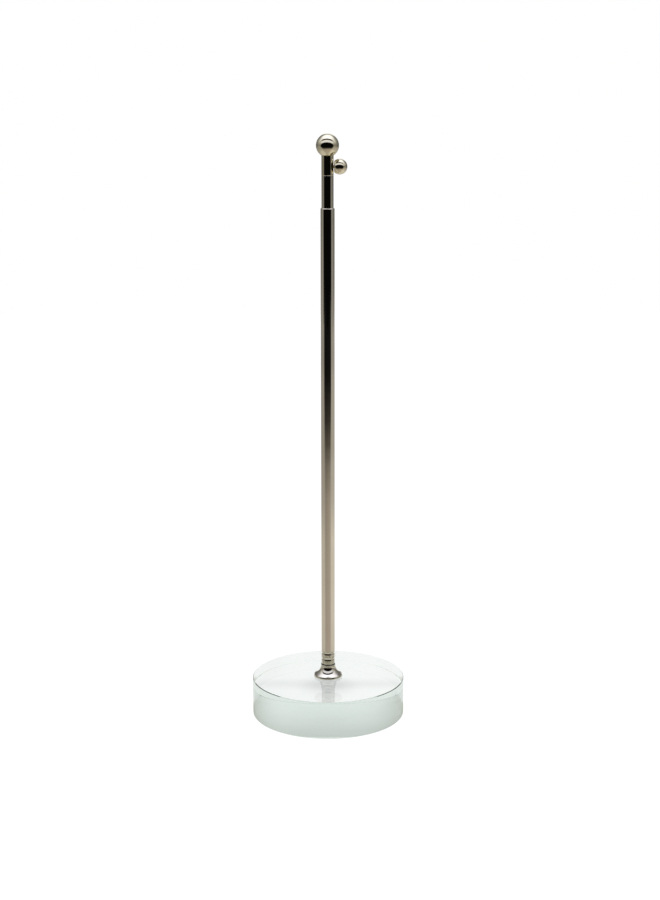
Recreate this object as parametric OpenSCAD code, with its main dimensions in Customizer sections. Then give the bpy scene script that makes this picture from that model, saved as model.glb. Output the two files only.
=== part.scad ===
// Telescopic desk flag stand: a two-section pole with a ball finial on a round glass base.
// Units are millimetres. The origin is the centre of the base's underside, +Z runs up the pole,
// and the ball-headed screw that takes the flag's loop points along +X.
// The pole is drawn a little way out. Threads are plain cylinders at their nominal diameter.

/* [Base] */
// Diameter of the glass disc
base_d = 80; // [60:1:120]
// Thickness of the glass disc
base_h = 20; // [12:1:30]
// Polished chamfer round both edges of the glass disc
base_chamfer = 0.3; // [0.2:0.1:1.5]
// Thickness of the cured adhesive under the flange
bond_t = 0.15; // [0.1:0.05:0.4]

/* [Flange] */
// Diameter of the flange's rim
flange_d = 15.1; // [14:0.1:24]
// Height of the rim, whose side leans in
flange_rim_h = 1.15; // [0.8:0.05:2]
// Diameter of the flange's neck
flange_neck_d = 7.5; // [7.4:0.02:9]
// Height at which the flare has become the straight neck
flange_flare_h = 6.2; // [4:0.1:6.3]
// Whole height of the flange
flange_h = 6.5; // [6.5:0.05:12]
// Thickness of the dark washer on top of the flange
washer_t = 0.5; // [0.4:0.1:1.5]
// Diameter of the dark washer
washer_d = 7.3; // [7:0.1:8]

/* [Pole] */
// Outside diameter of the outer tube
outer_d = 7; // [7:0.1:7.4]
// Height of the outer tube's lip above the desk
lip_z = 265.2; // [220:0.1:320]
// Outside diameter of the inner tube and of the cap on it
inner_d = 6; // [5.8:0.1:6]
// Length of inner tube that shows above the lip
inner_shown = 15.8; // [8:0.1:30]
// How much further the inner tube can be drawn out
draw_left = 200; // [120:5:200]
// Wall of the inner tube
inner_wall = 0.3; // [0.25:0.05:0.4]

/* [Finial] */
// Diameter of the finial ball
ball_d = 11.3; // [9:0.1:14]
// Height of the cap between the inner tube and the ball
cap_h = 9.6; // [9.6:0.1:14]
// Diameter of the ball on the screw for the flag's loop
knob_d = 7.6; // [6:0.1:8]
// Distance from the pole's axis to the centre of that ball
knob_reach = 5.95; // [5.7:0.05:7]
// Height of the loop screw above the foot of the cap
knob_rise = 4.2; // [3.8:0.1:4.4]
// Gap between the cap and the flat on the screw's ball
loop_gap = 0.25; // [0.25:0.05:0.6]

/* [Hidden] */

round_fn = 128;
arc_steps = 10;
over = 1;

// Flange, washer and the thread that holds the pole to them
flange_z = base_h + bond_t;
flange_top = flange_z + flange_h;
flange_draft = 18;
flange_crown_r = 0.25;
bond_margin = 0.7;
post_thread_r = 2;
post_thread_l = 6;
tapped_depth = post_thread_l + 0.3 - washer_t;
washer_hole_r = 2.1;
pole_z = flange_top + washer_t;

// Outer tube: its bore, its rolled-in lip and the two crimps that hold the plug in its foot
outer_r = outer_d / 2;
inner_r = inner_d / 2;
slide_gap = 0.05;
lip_bore_r = inner_r + slide_gap;
lip_step = 0.1;
bore_r = lip_bore_r + lip_step;
lip_l = 0.9;
lip_lead = 0.25;
lip_round = [0.38, 0.55];
foot_plug_h = 8.4;
crimp_z = [2.85, 6.05];
crimp_depth = 0.22;
crimp_w = 1.9;
crimp_steps = 5;

// Stop plug and spring sleeve at the lower end of the inner tube
inner_bore_r = inner_r - inner_wall;
shoulder_gap = 0.1;
collar_h = 1.5;
collar_r = bore_r - 0.03;
collar_top = lip_z - lip_l - shoulder_gap - draw_left;
sleeve_l = 7;
sleeve_play = 0.1;
sleeve_r = bore_r - 0.02;
sleeve_crown = 0.12;
sleeve_wall = 0.3;
sleeve_bore_r = sleeve_r - sleeve_wall;
sleeve_seat_r = sleeve_bore_r - 0.08;
sleeve_slit = 0.8;
retainer_h = 1;
retainer_r = bore_r - 0.1;
plug_spigot_l = 6;
plug_z = collar_top - collar_h - sleeve_l - retainer_h;

// Cap, finial ball and the stud between them
cap_z = lip_z + inner_shown;
cap_top = cap_z + cap_h;
cap_round = 0.2;
cap_spigot_l = 8;
ball_r = ball_d / 2;
ball_z = cap_top + sqrt(ball_r * ball_r - inner_r * inner_r);
stud_r = 1.5;
stud_in_cap = 4.2;
stud_in_ball = 4.8;
stud_end_gap = 0.2;

// Screw with a ball for the flag's loop
knob_r = knob_d / 2;
knob_z = cap_z + knob_rise;
knob_flat_x = inner_r + loop_gap;
loop_thread_r = 0.8;
loop_thread_gap = 0.04;
loop_thread_end = -0.8;
loop_hole_end = -1.2;
ball_seat_gap = 0.02;
ball_seat_end = knob_reach + 1.4;

edge = 0.12;

// Points along an arc of an ellipse, from one angle to another
function arc(centre, radii, from, to, steps = arc_steps) = [
    for (i = [0 : steps])
        let (a = from + (to - from) * i / steps)
        [centre[0] + radii[0] * cos(a), centre[1] + radii[1] * sin(a)]
];

// Points up a tube's wall, pressed in by a smooth dip at each crimp
function crimped_wall(r) = [
    for (z = crimp_z)
        for (i = [-crimp_steps : crimp_steps])
            [r - crimp_depth * (1 + cos(180 * i / crimp_steps)) / 2, pole_z + z + crimp_w / 2 * i / crimp_steps]
];

function reversed(points) = [for (i = [len(points) - 1 : -1 : 0]) points[i]];

module lathe(outline) {
    rotate_extrude($fn = round_fn)
        polygon(outline);
}

// A rod along Z between two heights
module rod(r, z0, z1) {
    translate([0, 0, z0])
        cylinder(r = r, h = z1 - z0, $fn = round_fn);
}

// Turns pieces made along +Z from the pole's axis to lie along +X at the loop screw's height
module on_cross_axis() {
    translate([0, 0, knob_z])
        rotate([0, 90, 0])
            children();
}

module glass_base() {
    r = base_d / 2;
    c = base_chamfer;
    color([0.86, 0.94, 0.91])
        lathe([[0, 0], [r - c, 0], [r, c], [r, base_h - c], [r - c, base_h], [0, base_h]]);
}

module bond_layer() {
    color([0.93, 0.95, 0.93])
        rod(flange_d / 2 - bond_margin, base_h, flange_z);
}

// Bell flange: a rim that leans in to a rounded crown, a hollow flare on one circle that touches the
// crown and the neck, and a straight neck with a tapped hole
module base_flange() {
    rim_r = flange_d / 2;
    neck_r = flange_neck_d / 2;
    crown_z = flange_rim_h - flange_crown_r;
    crown_x = rim_r - (crown_z - edge) * tan(flange_draft) - flange_crown_r / cos(flange_draft);
    run = crown_x - neck_r;
    rise = flange_flare_h - crown_z;
    flare_r = (run * run + rise * rise - flange_crown_r * flange_crown_r) / (2 * (run + flange_crown_r));
    flare_tilt = atan2(rise, flare_r - run);
    outline = concat(
        [[0, 0], [rim_r - edge, 0], [rim_r, edge]],
        arc([crown_x, crown_z], [flange_crown_r, flange_crown_r], flange_draft, flare_tilt),
        arc([neck_r + flare_r, flange_flare_h], [flare_r, flare_r], 180 + flare_tilt, 180, 2 * arc_steps),
        [[neck_r, flange_h - edge], [neck_r - edge, flange_h], [0, flange_h]]
    );
    color([0.74, 0.71, 0.66])
        difference() {
            translate([0, 0, flange_z])
                lathe(outline);
            rod(post_thread_r, flange_top - tapped_depth, flange_top + over);
        }
}

module seat_washer() {
    color([0.1, 0.1, 0.1])
        difference() {
            rod(washer_d / 2, flange_top, pole_z);
            rod(washer_hole_r, flange_top - over, pole_z + over);
        }
}

// Plug held in the foot of the outer tube by the crimps, with a threaded post into the flange
module foot_plug() {
    top = pole_z + foot_plug_h;
    outline = concat(
        [[0, pole_z - post_thread_l], [post_thread_r - edge, pole_z - post_thread_l],
         [post_thread_r, pole_z - post_thread_l + edge], [post_thread_r, pole_z], [bore_r, pole_z]],
        crimped_wall(bore_r),
        [[bore_r, top - edge], [bore_r - edge, top], [0, top]]
    );
    color([0.78, 0.62, 0.32])
        lathe(outline);
}

// Outer tube: crimped round the foot plug, with its upper end rolled in to guide and stop the inner tube
module outer_tube() {
    lip_inside = [[bore_r, lip_z - lip_l], [lip_bore_r, lip_z - lip_l + lip_lead], [lip_bore_r, lip_z]];
    lip_outside = arc([outer_r - lip_round[0], lip_z - lip_round[1]], lip_round, 90, 0);
    outline = concat(
        [[bore_r, pole_z]],
        crimped_wall(bore_r),
        lip_inside,
        lip_outside,
        reversed(crimped_wall(outer_r)),
        [[outer_r, pole_z]]
    );
    color([0.72, 0.70, 0.66])
        lathe(outline);
}

// Split bronze sleeve, slightly barrel-shaped, that rubs in the outer tube's bore
module spring_sleeve() {
    z0 = plug_z + retainer_h + sleeve_play;
    z1 = plug_z + retainer_h + sleeve_l - sleeve_play;
    belly = sleeve_l / 4;
    outline = [[sleeve_bore_r, z0], [sleeve_r - sleeve_crown, z0], [sleeve_r, z0 + belly],
               [sleeve_r, z1 - belly], [sleeve_r - sleeve_crown, z1], [sleeve_bore_r, z1]];
    color([0.72, 0.48, 0.28])
        difference() {
            lathe(outline);
            translate([-bore_r - over, -sleeve_slit / 2, z0 - over])
                cube([bore_r + over, sleeve_slit, z1 - z0 + 2 * over]);
        }
}

// Plug in the lower end of the inner tube: retainer, sleeve seat, stop collar and spigot
module stop_plug() {
    seat_z = plug_z + retainer_h;
    collar_z = collar_top - collar_h;
    top = collar_top + plug_spigot_l;
    color([0.78, 0.62, 0.32])
        lathe([[0, plug_z], [retainer_r - edge, plug_z], [retainer_r, plug_z + edge],
               [retainer_r, seat_z], [sleeve_seat_r, seat_z], [sleeve_seat_r, collar_z],
               [collar_r, collar_z], [collar_r, collar_top], [inner_bore_r, collar_top],
               [inner_bore_r, top - edge], [inner_bore_r - edge, top], [0, top]]);
}

module inner_tube() {
    color([0.76, 0.73, 0.68])
        lathe([[inner_bore_r, collar_top], [inner_r, collar_top], [inner_r, cap_z - edge],
               [inner_r - edge, cap_z], [inner_bore_r, cap_z]]);
}

// Turned cap: spigot in the inner tube, cross hole for the loop screw, tapped hole for the stud
module finial_cap() {
    color([0.80, 0.74, 0.62])
        difference() {
            lathe(concat(
                [[0, cap_z - cap_spigot_l], [inner_bore_r - edge, cap_z - cap_spigot_l],
                 [inner_bore_r, cap_z - cap_spigot_l + edge], [inner_bore_r, cap_z]],
                arc([inner_r - cap_round, cap_z + cap_round], [cap_round, cap_round], -90, 0),
                [[inner_r, cap_top], [0, cap_top]]
            ));
            rod(stud_r, cap_top - stud_in_cap, cap_top + over);
            on_cross_axis()
                rod(loop_thread_r + loop_thread_gap, loop_hole_end, inner_r + over);
        }
}

module finial_stud() {
    color([0.62, 0.62, 0.60])
        rod(stud_r, cap_top - stud_in_cap + stud_end_gap, cap_top + stud_in_ball - stud_end_gap);
}

module finial_ball() {
    color([0.82, 0.75, 0.61])
        difference() {
            translate([0, 0, ball_z])
                sphere(r = ball_r, $fn = round_fn);
            translate([-ball_r, -ball_r, cap_top - ball_d])
                cube([ball_d, ball_d, ball_d]);
            rod(stud_r, cap_top - over, cap_top + stud_in_ball);
        }
}

module loop_screw() {
    color([0.70, 0.67, 0.60])
        on_cross_axis()
            rod(loop_thread_r, loop_thread_end, ball_seat_end - ball_seat_gap);
}

module loop_ball() {
    color([0.82, 0.75, 0.61])
        on_cross_axis()
            difference() {
                translate([0, 0, knob_reach])
                    sphere(r = knob_r, $fn = round_fn);
                translate([-knob_r, -knob_r, knob_flat_x - knob_d])
                    cube([knob_d, knob_d, knob_d]);
                rod(loop_thread_r + ball_seat_gap, knob_flat_x - over, ball_seat_end);
            }
}

glass_base();
bond_layer();
base_flange();
seat_washer();
foot_plug();
outer_tube();
spring_sleeve();
stop_plug();
inner_tube();
finial_cap();
finial_stud();
finial_ball();
loop_screw();
loop_ball();
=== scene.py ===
"""Looks of the telescopic desk flag stand: mirror-polished nickel plate on a disc of clear glass.

Lengths are in millimetres until they reach a mesh, an object or the camera, which are in metres. Shaders
take metres and degrees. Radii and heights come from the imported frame's nodes. What the frame's boxes
leave out, such as walls, bores, edge roundings and the screw's thread, is named here.
"""

import math

import bmesh
import bpy
from mathutils import Matrix, Vector


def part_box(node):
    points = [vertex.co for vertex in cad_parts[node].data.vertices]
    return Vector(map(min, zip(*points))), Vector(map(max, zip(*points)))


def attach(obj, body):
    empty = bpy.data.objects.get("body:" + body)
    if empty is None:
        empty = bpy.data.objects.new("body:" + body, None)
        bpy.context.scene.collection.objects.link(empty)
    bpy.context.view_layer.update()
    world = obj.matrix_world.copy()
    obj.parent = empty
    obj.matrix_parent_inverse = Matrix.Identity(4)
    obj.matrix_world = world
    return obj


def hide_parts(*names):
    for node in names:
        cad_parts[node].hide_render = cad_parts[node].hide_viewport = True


MM = 0.001
ON_AXIS = 1e-6
ROUND_STEPS = 160
GLASS_STEPS = 288
BALL_STEPS = 56
FILLET_STEPS = 6
SUPPORT = 0.02
INNER_TUBE_WALL = 0.3
STUD_R = 1.5
BOUNCES = 48

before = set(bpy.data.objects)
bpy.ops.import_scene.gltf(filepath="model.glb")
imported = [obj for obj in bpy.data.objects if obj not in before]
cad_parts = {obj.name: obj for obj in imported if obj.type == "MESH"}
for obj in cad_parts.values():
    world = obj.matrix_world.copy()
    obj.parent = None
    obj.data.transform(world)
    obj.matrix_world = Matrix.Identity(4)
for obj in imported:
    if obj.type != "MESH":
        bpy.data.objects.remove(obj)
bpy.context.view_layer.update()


# ---------------------------------------------------------------- outlines and lathe

class Span:
    """A round CAD node's largest radius, and its first and last place along Z and X, in millimetres."""

    def __init__(self, node):
        low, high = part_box(node)
        self.r = (high.y - low.y) / 2 / MM
        self.z0 = low.z / MM
        self.z1 = high.z / MM
        self.middle_z = (low.z + high.z) / 2 / MM
        self.x0 = low.x / MM
        self.x1 = high.x / MM


def arc(centre, radii, start, end, steps, wear=0.0):
    """Points (r, z, wear) along an arc of an ellipse, between two angles in degrees."""
    points = []
    for i in range(steps + 1):
        a = math.radians(start + (end - start) * i / steps)
        points.append((centre[0] + radii[0] * math.cos(a), centre[1] + radii[1] * math.sin(a), wear))
    return points


def rounded(corners, steps=FILLET_STEPS):
    """Points (r, z, wear) of an open outline whose corners (r, z, radius) are rounded, with a support
    point beside each rounding, so that smooth shading stays on the rounding."""
    points = []
    for i, (r, z, radius) in enumerate(corners):
        here = Vector((r, z))
        if radius <= 0 or i in (0, len(corners) - 1):
            points.append((r, z, 0.0))
            continue
        to_last = (Vector(corners[i - 1][:2]) - here).normalized()
        to_next = (Vector(corners[i + 1][:2]) - here).normalized()
        half = to_last.angle(to_next) / 2
        reach = radius / math.tan(half)
        centre = here + (to_last + to_next).normalized() * (radius / math.sin(half))
        first = here + to_last * reach - centre
        turn = first.angle_signed(here + to_next * reach - centre)
        points.append((*(here + to_last * (reach + SUPPORT)), 0.0))
        for k in range(steps + 1):
            a = -turn * k / steps
            x = first.x * math.cos(a) - first.y * math.sin(a)
            y = first.x * math.sin(a) + first.y * math.cos(a)
            points.append((centre.x + x, centre.y + y, 1.0))
        points.append((*(here + to_next * (reach + SUPPORT)), 0.0))
    return points


def lathe(name, outline, steps=ROUND_STEPS, ring=False):
    """A closed mesh turned round Z from (r, z, wear) points: from axis to axis, or a ring."""
    mesh = bpy.data.meshes.new(name)
    bm = bmesh.new()
    wear = bm.verts.layers.float.new("wear")
    rows = []
    for r, z, worn in outline:
        count = 1 if r < ON_AXIS else steps
        row = []
        for i in range(count):
            a = 2 * math.pi * i / steps
            v = bm.verts.new((r * math.cos(a) * MM, r * math.sin(a) * MM, z * MM))
            v[wear] = worn
            row.append(v)
        rows.append(row)
    pairs = list(zip(rows, rows[1:]))
    if ring:
        pairs.append((rows[-1], rows[0]))
    for low, high in pairs:
        for i in range(steps):
            j = (i + 1) % steps
            loop = [low[i % len(low)], low[j % len(low)], high[j % len(high)], high[i % len(high)]]
            corners = list(dict.fromkeys(loop))
            if len(corners) > 2:
                bm.faces.new(corners)
    bmesh.ops.recalc_face_normals(bm, faces=bm.faces)
    for face in bm.faces:
        face.smooth = True
    bm.to_mesh(mesh)
    bm.free()
    return bpy.data.objects.new(name, mesh)


def threaded_rod(name, r, pitch, depth, length, steps=48, rows_per_turn=10):
    """A closed rod along +Z from 0 with a right-hand thread whose ends are chamfered."""
    mesh = bpy.data.meshes.new(name)
    bm = bmesh.new()
    row_count = int(length / pitch * rows_per_turn)
    rows = []
    for k in range(row_count + 1):
        z = length * k / row_count
        chamfer = min(1.0, min(z, length - z) / pitch)
        row = []
        for i in range(steps):
            turn = i / steps
            phase = (z / pitch - turn) % 1.0
            flank = abs(2 * phase - 1)
            here = r - depth * (1 - flank) - depth * (1 - chamfer)
            a = 2 * math.pi * turn
            row.append(bm.verts.new((here * math.cos(a) * MM, here * math.sin(a) * MM, z * MM)))
        rows.append(row)
    for low, high in zip(rows, rows[1:]):
        for i in range(steps):
            j = (i + 1) % steps
            bm.faces.new((low[i], low[j], high[j], high[i]))
    bm.faces.new(list(reversed(rows[0])))
    bm.faces.new(rows[-1])
    bmesh.ops.recalc_face_normals(bm, faces=bm.faces)
    for face in bm.faces:
        face.smooth = len(face.verts) == 4
    bm.to_mesh(mesh)
    bm.free()
    return bpy.data.objects.new(name, mesh)


def apply_place(piece):
    """Moves the piece's place into its mesh."""
    piece.data.transform(piece.matrix_basis)
    piece.matrix_basis = Matrix.Identity(4)


def place(piece, material, body, slot, *nodes):
    """Links a new piece, gives it its look, and lets it ride on a CAD body in place of CAD nodes."""
    bpy.context.scene.collection.objects.link(piece)
    piece.data.materials.append(material)
    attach(piece, body)
    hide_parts(*nodes)


# ---------------------------------------------------------------- materials

def add(tree, kind, inputs=None, **settings):
    """A shader node with its settings, and its inputs set to values or linked to other nodes' outputs."""
    made = tree.nodes.new(kind)
    for key, value in settings.items():
        setattr(made, key, value)
    for key, value in (inputs or {}).items():
        socket = made.inputs[key]
        if isinstance(value, bpy.types.NodeSocket):
            tree.links.new(value, socket)
        else:
            socket.default_value = value
    return made


def new_material(name):
    """An empty material with its tree, its output node and the coordinates of the object's own frame."""
    material = bpy.data.materials.new(name)
    material.use_nodes = True
    tree = material.node_tree
    tree.nodes.clear()
    output = add(tree, "ShaderNodeOutputMaterial")
    coords = add(tree, "ShaderNodeTexCoord").outputs["Object"]
    return material, tree, output, coords


def grain(tree, coords, scale, stretch=(1, 1, 1), detail=3.0, low=0.0, high=1.0, start=0.3, end=0.7):
    """Noise, stretched along the axes, whose values from start to end become low to high."""
    placed = add(tree, "ShaderNodeMapping", {"Vector": coords, "Scale": stretch})
    noise = add(tree, "ShaderNodeTexNoise", {"Vector": placed.outputs[0], "Scale": scale, "Detail": detail})
    mapped = add(tree, "ShaderNodeMapRange", {"Value": noise.outputs["Fac"], "From Min": start,
                                              "From Max": end, "To Min": low, "To Max": high})
    return mapped.outputs[0]


def over(tree, factor, below, above):
    """One colour over another, by a factor. Each is an output or three numbers."""
    mixed = add(tree, "ShaderNodeMix", data_type="RGBA")
    for socket, value in (("Factor", factor), ("A", below), ("B", above)):
        if isinstance(value, bpy.types.NodeSocket):
            tree.links.new(value, mixed.inputs[socket])
        else:
            mixed.inputs[socket].default_value = (*value, 1)
    return mixed.outputs["Result"]


def calculate(tree, operation, *values):
    """The result of a Math node on outputs or numbers."""
    return add(tree, "ShaderNodeMath", dict(enumerate(values)), operation=operation).outputs[0]


def total(tree, *values):
    """The sum of several outputs or numbers."""
    result = values[0]
    for value in values[1:]:
        result = calculate(tree, "ADD", result, value)
    return result


def product(tree, *values):
    """The product of several outputs or numbers."""
    result = values[0]
    for value in values[1:]:
        result = calculate(tree, "MULTIPLY", result, value)
    return result


def worn_roughness(tree, amount):
    """Roughness where the mesh is worn: the mesh's own wear, which is 1 on an edge, times an amount."""
    attribute = add(tree, "ShaderNodeAttribute", attribute_name="wear")
    return product(tree, attribute.outputs["Fac"], amount)


def bumped(tree, height, distance, normal=None):
    """A normal that follows a height, on top of another normal if one is given. The distance is in metres."""
    inputs = {"Height": height, "Distance": distance, "Strength": 1.0}
    if normal is not None:
        inputs["Normal"] = normal
    return add(tree, "ShaderNodeBump", inputs).outputs[0]


def polished_nickel(name, light, dark, smooth=0.03):
    """Mirror-polished plate: faint clouds in its colour, wiped smudges, hairline scratches along the pole,
    fine polishing rings round it, faint waves, and edges and crimps worn a little duller."""
    material, tree, output, coords = new_material(name)
    clouds = grain(tree, coords, 90, detail=4.0)
    smudges = grain(tree, coords, 140, stretch=(1, 1, 0.4), detail=5.0, high=0.055, start=0.48, end=0.75)
    hairlines = grain(tree, coords, 900, stretch=(1.6, 1.6, 0.02), detail=2.0, high=0.08, start=0.62, end=0.7)
    rings = grain(tree, coords, 500, stretch=(0.05, 0.05, 9.0), detail=2.0)
    waves = grain(tree, coords, 260, detail=1.5)
    surface = bumped(tree, rings, 0.0000006)
    surface = bumped(tree, waves, 0.0000035, surface)
    shader = add(tree, "ShaderNodeBsdfPrincipled", {
        "Base Color": over(tree, clouds, dark, light),
        "Metallic": 1.0,
        "Roughness": total(tree, smudges, hairlines, worn_roughness(tree, 0.06), smooth),
        "Normal": surface,
    })
    tree.links.new(shader.outputs[0], output.inputs["Surface"])
    return material


def clear_glass(name):
    """Clear, faintly green glass: light wiping marks on its faces, edges ground a little duller."""
    material, tree, output, coords = new_material(name)
    wiped = grain(tree, coords, 45, detail=6.0, high=0.012, start=0.5, end=0.8)
    waves = grain(tree, coords, 60, detail=1.0)
    shader = add(tree, "ShaderNodeBsdfPrincipled", {
        "Base Color": (1.0, 1.0, 1.0, 1.0),
        "Roughness": total(tree, wiped, worn_roughness(tree, 0.05)),
        "IOR": 1.52,
        "Transmission Weight": 1.0,
        "Normal": bumped(tree, waves, 0.000002),
    })
    absorbing = add(tree, "ShaderNodeVolumeAbsorption", {"Color": (0.79, 0.90, 0.84, 1), "Density": 10.0})
    tree.links.new(shader.outputs[0], output.inputs["Surface"])
    tree.links.new(absorbing.outputs[0], output.inputs["Volume"])
    return material


def turned_metal(name, light, dark, roughness=0.22):
    """Bare turned metal: tool rings, tarnish clouds."""
    material, tree, output, coords = new_material(name)
    tarnish = grain(tree, coords, 300, detail=5.0)
    rings = grain(tree, coords, 900, stretch=(0.05, 0.05, 4.0), detail=3.0)
    shader = add(tree, "ShaderNodeBsdfPrincipled", {
        "Base Color": over(tree, tarnish, dark, light),
        "Metallic": 1.0,
        "Roughness": total(tree, product(tree, tarnish, 0.12), product(tree, rings, 0.1), roughness),
        "Normal": bumped(tree, rings, 0.000004),
    })
    tree.links.new(shader.outputs[0], output.inputs["Surface"])
    return material


def matt_washer(name):
    """Black fibre washer: mottled, slightly shiny where it is pressed."""
    material, tree, output, coords = new_material(name)
    mottle = grain(tree, coords, 1500, detail=6.0)
    shader = add(tree, "ShaderNodeBsdfPrincipled", {
        "Base Color": over(tree, mottle, (0.02, 0.02, 0.02), (0.05, 0.048, 0.045)),
        "Specular IOR Level": 0.3,
        "Roughness": total(tree, product(tree, mottle, 0.25), 0.4),
        "Normal": bumped(tree, mottle, 0.00001),
    })
    tree.links.new(shader.outputs[0], output.inputs["Surface"])
    return material


def cured_adhesive(name):
    """Clear adhesive film: pale, glossy, with small bubbles."""
    material, tree, output, coords = new_material(name)
    bubbles = grain(tree, coords, 1800, detail=2.0, start=0.6, end=0.7)
    shader = add(tree, "ShaderNodeBsdfPrincipled", {
        "Base Color": over(tree, bubbles, (0.62, 0.62, 0.59), (0.8, 0.8, 0.78)),
        "Metallic": 0.4,
        "Roughness": total(tree, product(tree, bubbles, 0.2), 0.18),
        "Normal": bumped(tree, bubbles, 0.000004),
    })
    tree.links.new(shader.outputs[0], output.inputs["Surface"])
    return material


NICKEL = polished_nickel("polished_nickel", (0.72, 0.68, 0.58), (0.68, 0.64, 0.535))
WARM_NICKEL = polished_nickel("warm_nickel", (0.76, 0.71, 0.535), (0.72, 0.665, 0.48))
GLASS = clear_glass("clear_glass")
BRASS = turned_metal("turned_brass", (0.80, 0.64, 0.33), (0.66, 0.49, 0.22))
BRONZE = turned_metal("spring_bronze", (0.74, 0.48, 0.27), (0.58, 0.35, 0.18))
STEEL = turned_metal("plain_steel", (0.60, 0.60, 0.58), (0.45, 0.45, 0.44))
WASHER = matt_washer("fibre_washer")
ADHESIVE = cured_adhesive("cured_adhesive")


# ---------------------------------------------------------------- pieces on the base

glass = Span("glass_base")
flange = Span("base_flange")
washer = Span("seat_washer")
tube = Span("outer_tube")
inner = Span("inner_tube")
cap = Span("finial_cap")
ball = Span("finial_ball")
loop_ball = Span("loop_ball")
loop_screw = Span("loop_screw")
film = Span("bond_layer")


def build_glass_disc():
    """Disc with a chamfer round both faces. Each chamfer's two edges are slightly rounded."""
    chamfer, edge = 0.3, 0.07
    r, z0, z1 = glass.r, glass.z0, glass.z1
    outline = rounded([
        (0, z0, 0), (r - chamfer, z0, edge), (r, z0 + chamfer, edge),
        (r, z1 - chamfer, edge), (r - chamfer, z1, edge), (0, z1, 0),
    ], steps=4)
    place(lathe("glass_disc", outline, GLASS_STEPS), GLASS, "base", "clear_glass", "glass_base")


def build_bond_film():
    """Film with a sloping edge. It is sunk by a hair, so that no face of it lies in the glass's top face or
    in the flange's underside."""
    sunk, bead = 0.01, 0.05
    outline = rounded([
        (0, film.z0 - sunk, 0), (film.r, film.z0 - sunk, 0), (film.r - bead, film.z1 - sunk, 0),
        (0, film.z1 - sunk, 0),
    ])
    place(lathe("bond_film", outline), ADHESIVE, "base", "clear_adhesive", "bond_layer")


def build_flange():
    """Bell flange: a rim that leans in to a rounded crown, a hollow flare on one circle that touches the
    crown and the neck, and a straight neck with a tapped hole."""
    edge, draft, crown_r, rim_h = 0.12, 18.0, 0.25, 1.15
    neck_r, flare_h, top_edge = 3.75, 6.2, 0.12
    hole_r, hole_depth = 2.0, 5.8
    crown_steps, flare_steps = 10, 40
    r, z0, z1 = flange.r, flange.z0, flange.z1
    lean = math.radians(draft)
    crown_z = rim_h - crown_r
    crown_x = r - (crown_z - edge) * math.tan(lean) - crown_r / math.cos(lean)
    run, rise = crown_x - neck_r, flare_h - crown_z
    flare_r = (run * run + rise * rise - crown_r * crown_r) / (2 * (run + crown_r))
    tilt = math.degrees(math.atan2(rise, flare_r - run))
    outline = [(0, z0, 0)] + rounded([(0, z0, 0), (r - edge / 2, z0, edge / 2), (r, z0 + edge, 0)])[1:]
    outline += arc((crown_x, z0 + crown_z), (crown_r, crown_r), draft, tilt, crown_steps, wear=0.7)
    outline += arc((neck_r + flare_r, z0 + flare_h), (flare_r, flare_r), 180 + tilt, 180, flare_steps)[1:]
    outline += rounded([
        (neck_r, z0 + flare_h, 0), (neck_r, z1, top_edge), (hole_r, z1, top_edge),
        (hole_r, z1 - hole_depth, 0), (0, z1 - hole_depth, 0),
    ])[1:]
    place(lathe("bell_flange", outline), NICKEL, "base", "nickel_plate", "base_flange")


def build_washer():
    """Flat ring whose four edges are pressed round."""
    hole_r, edge = 2.1, 0.18
    r, z0, z1 = washer.r, washer.z0, washer.z1
    middle = (hole_r + r) / 2
    outline = rounded([
        (middle, z0, 0), (r, z0, edge), (r, z1, edge), (hole_r, z1, edge), (hole_r, z0, edge),
        (middle, z0, 0),
    ])[:-1]
    place(lathe("fibre_washer", outline, ring=True), WASHER, "base", "dark_washer", "seat_washer")


def crimped(r, upwards):
    """A tube's wall past the two crimps that hold the plug in its foot, most worn where they are deepest."""
    heights, depth, width, most_wear, steps = (2.85, 6.05), 0.22, 1.9, 2.6, 16
    points = []
    for z in heights:
        for i in range(-steps, steps + 1):
            share_of_depth = (1 + math.cos(math.pi * i / steps)) / 2
            along = tube.z0 + z + width / 2 * i / steps
            points.append((r - depth * share_of_depth, along, most_wear * share_of_depth))
    return points if upwards else points[::-1]


def build_outer_tube():
    """Outer tube: crimped foot, plain wall, upper end rolled inwards."""
    wall, lip_gap, lip_l, lip_lead = 0.35, 0.05, 0.9, 0.25
    lip_round, lip_edge, foot_edge = (0.38, 0.55), 0.06, 0.1
    lip_edge_steps, lip_steps, foot_steps = 4, 12, 5
    r, z0, z1 = tube.r, tube.z0, tube.z1
    bore_r, lip_bore_r = r - wall, inner.r + lip_gap
    outline = [(bore_r, z0, 0)] + crimped(bore_r, True)
    outline += [(bore_r, z1 - lip_l - SUPPORT, 0), (bore_r, z1 - lip_l, 0)]
    outline += [(lip_bore_r, z1 - lip_l + lip_lead, 0), (lip_bore_r, z1 - lip_edge - 2 * SUPPORT, 0)]
    outline += arc((lip_bore_r + lip_edge, z1 - lip_edge), (lip_edge, lip_edge), 180, 90,
                   lip_edge_steps, wear=1.0)
    outline += arc((r - lip_round[0], z1 - lip_round[1]), lip_round, 90, 0, lip_steps, wear=0.5)[1:]
    outline += [(r, z1 - lip_round[1] - SUPPORT, 0)]
    outline += crimped(r, False)
    outline += arc((r - foot_edge, z0 + foot_edge), (foot_edge, foot_edge), 0, -90, foot_steps, wear=1.0)
    place(lathe("outer_tube_plated", outline, ring=True), NICKEL, "base", "nickel_plate", "outer_tube")


# ---------------------------------------------------------------- pieces on the inner pole

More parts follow.
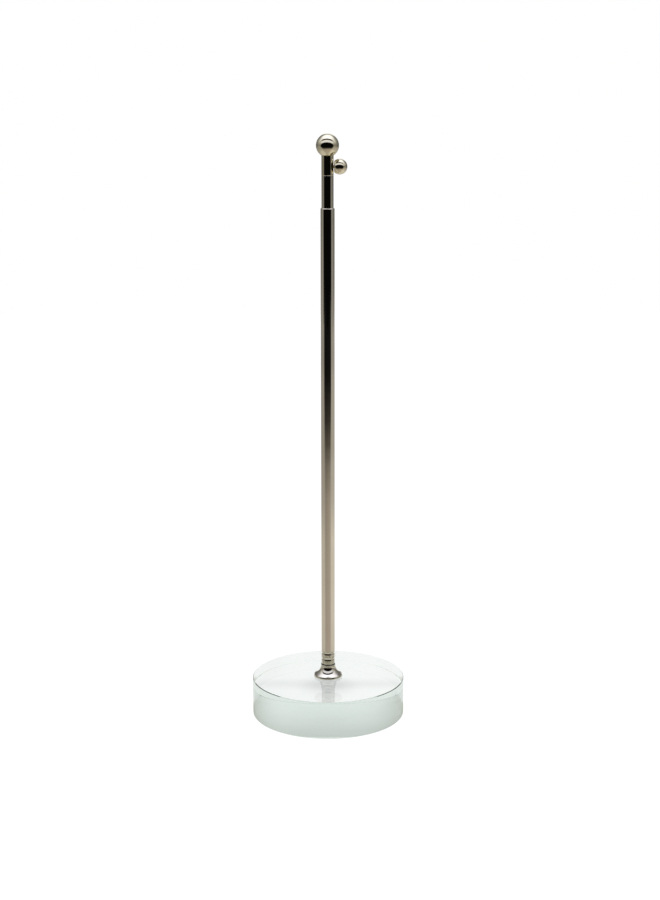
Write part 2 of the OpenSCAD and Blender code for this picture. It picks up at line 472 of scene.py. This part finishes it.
def build_inner_tube():
    """Plain tube with its edges broken."""
    outer_edge, bore_edge = 0.1, 0.05
    r, z0, z1 = inner.r, inner.z0, inner.z1
    bore_r = r - INNER_TUBE_WALL
    middle = r - INNER_TUBE_WALL / 2
    outline = rounded([
        (middle, z0, 0), (r, z0, outer_edge), (r, z1, outer_edge), (bore_r, z1, bore_edge),
        (bore_r, z0, bore_edge), (middle, z0, 0),
    ])[:-1]
    place(lathe("inner_tube_plated", outline, ring=True), NICKEL, "inner_pole", "nickel_plate", "inner_tube")


def build_cap():
    """Turned cap with its spigot, a tapped hole for the stud, and a cross hole for the loop screw, which
    is cut from its blind end at screw_hole_x out through the cap's wall."""
    spigot_edge, foot_edge, top_edge, hole_edge, stud_depth = 0.15, 0.2, 0.1, 0.05, 4.2
    screw_hole_r, screw_hole_x, hole_steps, sharp_from = 0.84, -1.2, 64, 40
    spigot_r = inner.r - INNER_TUBE_WALL
    shoulder_z = inner.z1
    outline = rounded([
        (0, cap.z0, 0), (spigot_r, cap.z0, spigot_edge), (spigot_r, shoulder_z, 0),
        (cap.r, shoulder_z, foot_edge), (cap.r, cap.z1, top_edge), (STUD_R, cap.z1, hole_edge),
        (STUD_R, cap.z1 - stud_depth, 0), (0, cap.z1 - stud_depth, 0),
    ])
    piece = lathe("finial_cap_turned", outline)
    bpy.context.scene.collection.objects.link(piece)
    drill_length = 2 * cap.r
    bpy.ops.mesh.primitive_cylinder_add(
        vertices=hole_steps, radius=screw_hole_r * MM, depth=drill_length * MM,
        location=((drill_length / 2 + screw_hole_x) * MM, 0, loop_ball.middle_z * MM),
        rotation=(0, math.pi / 2, 0))
    drill = bpy.context.object
    cut = piece.modifiers.new("cross_hole", "BOOLEAN")
    cut.object = drill
    cut.operation = "DIFFERENCE"
    cut.solver = "EXACT"
    bpy.context.view_layer.update()
    cut_mesh = bpy.data.meshes.new_from_object(piece.evaluated_get(bpy.context.evaluated_depsgraph_get()))
    bpy.data.objects.remove(drill)
    bpy.data.objects.remove(piece)
    cut_mesh.set_sharp_from_angle(angle=math.radians(sharp_from))
    piece = bpy.data.objects.new("finial_cap_turned", cut_mesh)
    piece.data.materials.clear()
    place(piece, WARM_NICKEL, "inner_pole", "warm_nickel", "finial_cap")


def truncated_ball(name, r, flat_at, bore_r, bore_depth, edge):
    """A ball round Z, centred on 0, cut flat at z = flat_at with a blind bore from the flat."""
    flat_r = math.sqrt(r * r - flat_at * flat_at)
    first = math.degrees(math.atan2(flat_at, flat_r) + edge / r)
    outline = [(0, flat_at + bore_depth, 0), (bore_r, flat_at + bore_depth, 0)]
    outline += [(bore_r, flat_at + edge, 0), (bore_r + edge, flat_at, 0.5)]
    outline += [(flat_r - edge, flat_at, 0.0), (flat_r - edge / 3, flat_at + edge / 4, 1.0)]
    outline += arc((0, 0), (r, r), first, 90, BALL_STEPS)[:-1] + [(0, r, 0)]
    return lathe(name, outline)


def build_finial_ball():
    """Ball whose flat sits on the cap, with a blind hole for the stud."""
    bore_depth, edge = 4.8, 0.12
    r = ball.r
    centre_z = ball.z1 - r
    piece = truncated_ball("finial_ball_polished", r, ball.z0 - centre_z, STUD_R, bore_depth, edge)
    piece.location.z = centre_z * MM
    apply_place(piece)
    place(piece, WARM_NICKEL, "inner_pole", "warm_nickel", "finial_ball")


# ---------------------------------------------------------------- the screw for the flag's loop

def build_loop_ball():
    """Ball whose flat faces the cap, with a blind hole for the screw."""
    bore_r, bore_depth, edge = 0.82, 4.1, 0.1
    r = loop_ball.r
    centre_x = loop_ball.x1 - r
    piece = truncated_ball("loop_ball_polished", r, loop_ball.x0 - centre_x, bore_r, bore_depth, edge)
    piece.rotation_euler.y = math.pi / 2
    piece.location = (centre_x * MM, 0, loop_ball.middle_z * MM)
    apply_place(piece)
    place(piece, WARM_NICKEL, "screw_head", "warm_nickel", "loop_ball")


def build_loop_screw():
    """Threaded pin of the ball, from inside the cap to inside the ball."""
    pitch, depth = 0.35, 0.19
    piece = threaded_rod("loop_screw_threaded", loop_screw.r, pitch, depth, loop_screw.x1 - loop_screw.x0)
    piece.rotation_euler.y = math.pi / 2
    piece.location = (loop_screw.x0 * MM, 0, loop_ball.middle_z * MM)
    apply_place(piece)
    place(piece, WARM_NICKEL, "screw_pin", "warm_nickel", "loop_screw")


def finish_hidden_nodes():
    """The inner pieces keep their CAD shapes and get their own metals."""
    for node, material in (("foot_plug", BRASS), ("stop_plug", BRASS), ("spring_sleeve", BRONZE),
                           ("finial_stud", STEEL)):
        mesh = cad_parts[node].data
        mesh.materials.clear()
        mesh.materials.append(material)


# ---------------------------------------------------------------- studio

CAMERA_WHITE = (1, 1, 1, 1)

# The room. Its angles are in degrees, and its walls' tones are spread over WALL_HEIGHTS, from 0 to 1
ROOM_TURN = 5.0
HORIZON = -4.0
WALL_HEIGHTS = (-10, 90)
WALL_TONES = (
    (0.0, (0.38, 0.365, 0.345)), (0.03, (0.33, 0.32, 0.30)), (0.06, (0.255, 0.248, 0.237)),
    (0.1, (0.25, 0.245, 0.235)), (0.2, (0.36, 0.355, 0.35)), (0.3, (0.60, 0.60, 0.61)),
    (0.4, (0.80, 0.80, 0.84)), (0.6, (1.15, 1.17, 1.33)), (0.75, (1.45, 1.49, 1.75)),
    (1.0, (1.60, 1.65, 2.0)),
)
SIDE_TONE = (0.05, 0.05, 0.05)
BEHIND_TONE = (0.14, 0.14, 0.14)
BACKDROP_TONE = (1.3, 1.3, 1.3)
LAMP_TONE = (0.97, 0.98, 1.12)
LAMP_RIM_TONE = (0.05, 0.045, 0.055)
UNLIT_TONE = (0.003, 0.003, 0.003)
THROUGH_TONE = (0.99, 1.0, 0.995, 1)

# The paper in reflections. Its first two rows of tones go by the distance from the pole in metres
PAPER_TURN = 3.0
PAPER_IN_FRONT = (
    (0.085, (0.50, 0.44, 0.40)), (0.25, (0.47, 0.415, 0.37)), (0.40, (0.40, 0.35, 0.31)),
    (0.51, (0.24, 0.215, 0.19)), (0.60, (0.10, 0.09, 0.08)), (0.70, (0.04, 0.035, 0.03)),
    (0.90, (0.008, 0.008, 0.008)),
)
PAPER_ASIDE = (
    (0.085, (0.70, 0.67, 0.62)), (0.15, (0.74, 0.70, 0.65)), (0.32, (0.70, 0.66, 0.61)),
    (0.42, (0.54, 0.51, 0.48)), (0.60, (0.45, 0.43, 0.40)), (0.90, (0.44, 0.42, 0.395)),
    (1.0, (0.38, 0.365, 0.345)),
)
PAPER_UNDER_BASE = (0.885, 0.89, 0.885)
# Painted shade on the paper under the base, as it is seen in reflections
PAPER_UNDER_BASE_PAINTED_SHADE = (0.46, 0.45, 0.37)
PAPER_PAST_BASE = (0.84, 0.85, 0.84)

# The paper for the camera: its own even glow, and the grey that takes shadows
PAPER_GLOW = 0.95
PAPER_GREY = (0.18, 0.18, 0.18, 1)


def ramp(tree, factor, stops):
    """A colour ramp through (place, colour) stops."""
    made = add(tree, "ShaderNodeValToRGB", {"Fac": factor})
    elements = made.color_ramp.elements
    while len(elements) < len(stops):
        elements.new(0.5)
    for element, (at, tone) in zip(elements, stops):
        element.position = at
        element.color = (*tone, 1)
    return made.outputs["Color"]


def fade(tree, value, start, end, low=0.0, high=1.0):
    """A smooth change from low to high while the value goes from start to end."""
    return add(tree, "ShaderNodeMapRange", {
        "Value": value, "From Min": start, "From Max": end, "To Min": low, "To Max": high,
    }, interpolation_type="SMOOTHSTEP").outputs[0]


def share(tree, value, start, end):
    """How far a value is on its way from start to end, from 0 to 1."""
    return add(tree, "ShaderNodeMapRange", {"Value": value, "From Min": start, "From Max": end}).outputs[0]


def difference(tree, value, other):
    """The difference of two values, without its sign."""
    return calculate(tree, "ABSOLUTE", calculate(tree, "SUBTRACT", value, other))


def turned(tree, coords, degrees):
    """Coordinates turned about Z, so that what they place stands that many degrees left of the front."""
    rotation = (0, 0, math.radians(degrees))
    return add(tree, "ShaderNodeMapping", {"Vector": coords, "Rotation": rotation}).outputs[0]


def oval(tree, azimuth, height, half_width, half_height):
    """Distance from the horizon straight ahead, counted in an oval's radii, all in degrees."""
    across = product(tree, azimuth, 1 / half_width)
    up = product(tree, calculate(tree, "SUBTRACT", height, HORIZON), 1 / half_height)
    squares = total(tree, product(tree, across, across), product(tree, up, up))
    return calculate(tree, "SQRT", squares)


def room_colour(tree, azimuth, height):
    """The room that polished metal reflects. Its walls brighten upwards to a white ceiling. They are dimmer
    at the sides and behind, but for a white backdrop straight behind. In front are the room's unlit end and,
    above it, a soft lamp with a dark rim. The azimuth counts from the front to either side."""
    walls = ramp(tree, share(tree, height, *WALL_HEIGHTS), WALL_TONES)

    dimming = fade(tree, azimuth, 95, 125, 0.0, fade(tree, height, 5, 25, 0.45, 0.6))
    room = over(tree, product(tree, dimming, fade(tree, height, 55, 35)), walls, SIDE_TONE)

    behind = product(tree, fade(tree, azimuth, 134, 148), fade(tree, height, 2, 10),
                     fade(tree, height, 50, 36, 0.0, 0.75))
    room = over(tree, behind, room, BEHIND_TONE)

    backdrop = product(tree, fade(tree, azimuth, 162, 173), fade(tree, height, 4, 14),
                       fade(tree, height, 34, 26))
    room = over(tree, backdrop, room, BACKDROP_TONE)

    from_lamp_rim = oval(tree, azimuth, height, 98, 70)
    lamp = product(tree, fade(tree, from_lamp_rim, 1.0, 0.93), fade(tree, azimuth, 85, 60),
                   fade(tree, height, 14, 30))
    room = over(tree, lamp, room, LAMP_TONE)

    rim = product(tree, fade(tree, difference(tree, from_lamp_rim, 1.0), 0.15, 0.085),
                  fade(tree, azimuth, 92, 62))
    room = over(tree, rim, room, LAMP_RIM_TONE)

    above_horizon = calculate(tree, "MAXIMUM", height, HORIZON)
    unlit = fade(tree, oval(tree, azimuth, above_horizon, 66, 36), 1.12, 0.95)
    return over(tree, unlit, room, UNLIT_TONE)


def light_through_glass(tree, azimuth, height):
    """How bright the room is through the glass: with a dim band 23 degrees up, and dimmer at the sides."""
    upwards = total(tree, fade(tree, height, 20.9, 23.3, 0.90, 0.49),
                    fade(tree, height, 23.4, 26.0, 0.0, 0.33))
    sideways = total(tree, fade(tree, azimuth, 112, 162, 0.78, 1.0), fade(tree, azimuth, 100, 70, 0.0, 0.2))
    return product(tree, upwards, sideways)


def build_world():
    """Soft studio light: white for the camera, a pale room through the glass, and a room to reflect."""
    world = bpy.data.worlds.new("studio")
    bpy.context.scene.world = world
    world.use_nodes = True
    tree = world.node_tree
    tree.nodes.clear()
    directions = turned(tree, add(tree, "ShaderNodeTexCoord").outputs["Generated"], ROOM_TURN)
    x, y, z = add(tree, "ShaderNodeSeparateXYZ", {0: directions}).outputs
    angle = calculate(tree, "ARCTAN2", calculate(tree, "ABSOLUTE", x), product(tree, y, -1.0))
    azimuth = calculate(tree, "DEGREES", angle)
    height = calculate(tree, "DEGREES", calculate(tree, "ARCSINE", z))

    rays = add(tree, "ShaderNodeLightPath").outputs
    reflected = add(tree, "ShaderNodeBackground", {"Color": room_colour(tree, azimuth, height)})
    refracted = add(tree, "ShaderNodeBackground", {
        "Color": THROUGH_TONE,
        "Strength": light_through_glass(tree, azimuth, height),
    })
    seen = add(tree, "ShaderNodeBackground", {"Color": CAMERA_WHITE})
    both = add(tree, "ShaderNodeMixShader", {
        0: rays["Is Transmission Ray"], 1: reflected.outputs[0], 2: refracted.outputs[0],
    })
    every = add(tree, "ShaderNodeMixShader", {
        0: rays["Is Camera Ray"], 1: both.outputs[0], 2: seen.outputs[0],
    })
    output = add(tree, "ShaderNodeOutputWorld")
    tree.links.new(every.outputs[0], output.inputs["Surface"])


def paper_colour(tree, coords, y, far, rays):
    """The paper's colour in reflections and through the glass, with its light and shade painted in: warm and
    dim in front, paler at the sides, and brightest under the base. There a painted shade darkens it in
    reflections, but not close to the pole or behind it. Past the base, what is seen through the glass has
    one pale tone."""
    ahead = ramp(tree, far, PAPER_IN_FRONT)
    aside = ramp(tree, far, PAPER_ASIDE)
    towards = add(tree, "ShaderNodeSeparateXYZ", {0: turned(tree, coords, PAPER_TURN)}).outputs["Y"]
    facing = calculate(tree, "DIVIDE", product(tree, towards, -1.0), far)
    in_front = fade(tree, facing, 0.37, fade(tree, far, 0.45, 0.9, 0.9, 0.62))
    outside = over(tree, in_front, aside, ahead)

    # Painted shade: where a ray has been reflected, the paper under the base is darker, away from the pole
    # and behind it
    shade_in_reflections = product(tree, calculate(tree, "MINIMUM", rays["Glossy Depth"], 1.0),
                       fade(tree, far, 0.018, 0.026), fade(tree, y, 0.016, 0.008))
    under_base = over(tree, shade_in_reflections, PAPER_UNDER_BASE, PAPER_UNDER_BASE_PAINTED_SHADE)
    paper = over(tree, fade(tree, far, 0.058, 0.085), under_base, outside)
    past_base = product(tree, fade(tree, far, 0.050, 0.062), rays["Is Transmission Ray"])
    return over(tree, past_base, paper, PAPER_PAST_BASE)


def paper_strength(tree, coords, x, y, far):
    """The paper's brightness: the pole's soft shadow to both sides, the flange's round it, fine fibres, and
    more light on the right than on the left."""
    shadow = fade(tree, difference(tree, y, 0.003), 0.0, 0.011, 0.13, 0.0)
    shadow = total(tree, shadow, fade(tree, far, 0.0, 0.02, 0.28, 0.0))
    fibres = grain(tree, coords, 700, detail=4.0, low=0.0, high=0.03)
    strength = calculate(tree, "SUBTRACT", 1.0, total(tree, shadow, fibres))
    return product(tree, strength, fade(tree, x, -0.3, 0.3, 0.88, 1.12))


def build_floor():
    """A sheet of white paper, over two metres each way, just under the base."""
    half_width, front, back, drop = 1.2, -1.2, 1.4, -0.00005
    mesh = bpy.data.meshes.new("paper_floor")
    corners = [(-half_width, front), (half_width, front), (half_width, back), (-half_width, back)]
    mesh.from_pydata([(x, y, drop) for x, y in corners], [], [(0, 1, 2, 3)])
    paper = bpy.data.objects.new("paper_floor", mesh)
    bpy.context.scene.collection.objects.link(paper)

    material, tree, output, coords = new_material("white_paper")
    place_on_paper = add(tree, "ShaderNodeSeparateXYZ", {0: coords}).outputs
    x, y = place_on_paper["X"], place_on_paper["Y"]
    far = add(tree, "ShaderNodeVectorMath", {0: coords}, operation="LENGTH").outputs["Value"]
    rays = add(tree, "ShaderNodeLightPath").outputs
    reflected = add(tree, "ShaderNodeEmission", {
        "Color": paper_colour(tree, coords, y, far, rays),
        "Strength": paper_strength(tree, coords, x, y, far),
    })
    seen = add(tree, "ShaderNodeEmission", {"Color": CAMERA_WHITE, "Strength": PAPER_GLOW})
    matt = add(tree, "ShaderNodeBsdfDiffuse", {"Color": PAPER_GREY})
    lit = add(tree, "ShaderNodeAddShader", {0: seen.outputs[0], 1: matt.outputs[0]})
    both = add(tree, "ShaderNodeMixShader", {
        0: rays["Is Camera Ray"], 1: reflected.outputs[0], 2: lit.outputs[0],
    })
    tree.links.new(both.outputs[0], output.inputs["Surface"])
    mesh.materials.append(material)


def build_camera():
    """A short telephoto in front of the stand, looking down on its base. Its place is in millimetres and its
    angles are in degrees."""
    aside, distance, height = 1.03, 885.0, 347.0
    pitch, roll = 16.22, -0.06
    data = bpy.data.cameras.new("camera")
    data.sensor_width = 36.0
    data.lens = 70.76
    data.shift_y = 0.111
    data.clip_start = 0.01
    camera = bpy.data.objects.new("camera", data)
    camera.location = (aside * MM, -distance * MM, height * MM)
    tilt = Matrix.Rotation(math.radians(90 - pitch), 3, "X") @ Matrix.Rotation(math.radians(roll), 3, "Z")
    camera.rotation_euler = tilt.to_euler()
    bpy.context.scene.collection.objects.link(camera)
    bpy.context.scene.camera = camera


build_camera()
build_world()
build_floor()
build_glass_disc()
build_bond_film()
build_flange()
build_washer()
build_outer_tube()
build_inner_tube()
build_cap()
build_finial_ball()
build_loop_ball()
build_loop_screw()
finish_hidden_nodes()

scene = bpy.context.scene
scene.view_settings.view_transform = "Standard"
scene.cycles.max_bounces = BOUNCES
scene.cycles.transmission_bounces = BOUNCES
scene.cycles.glossy_bounces = BOUNCES
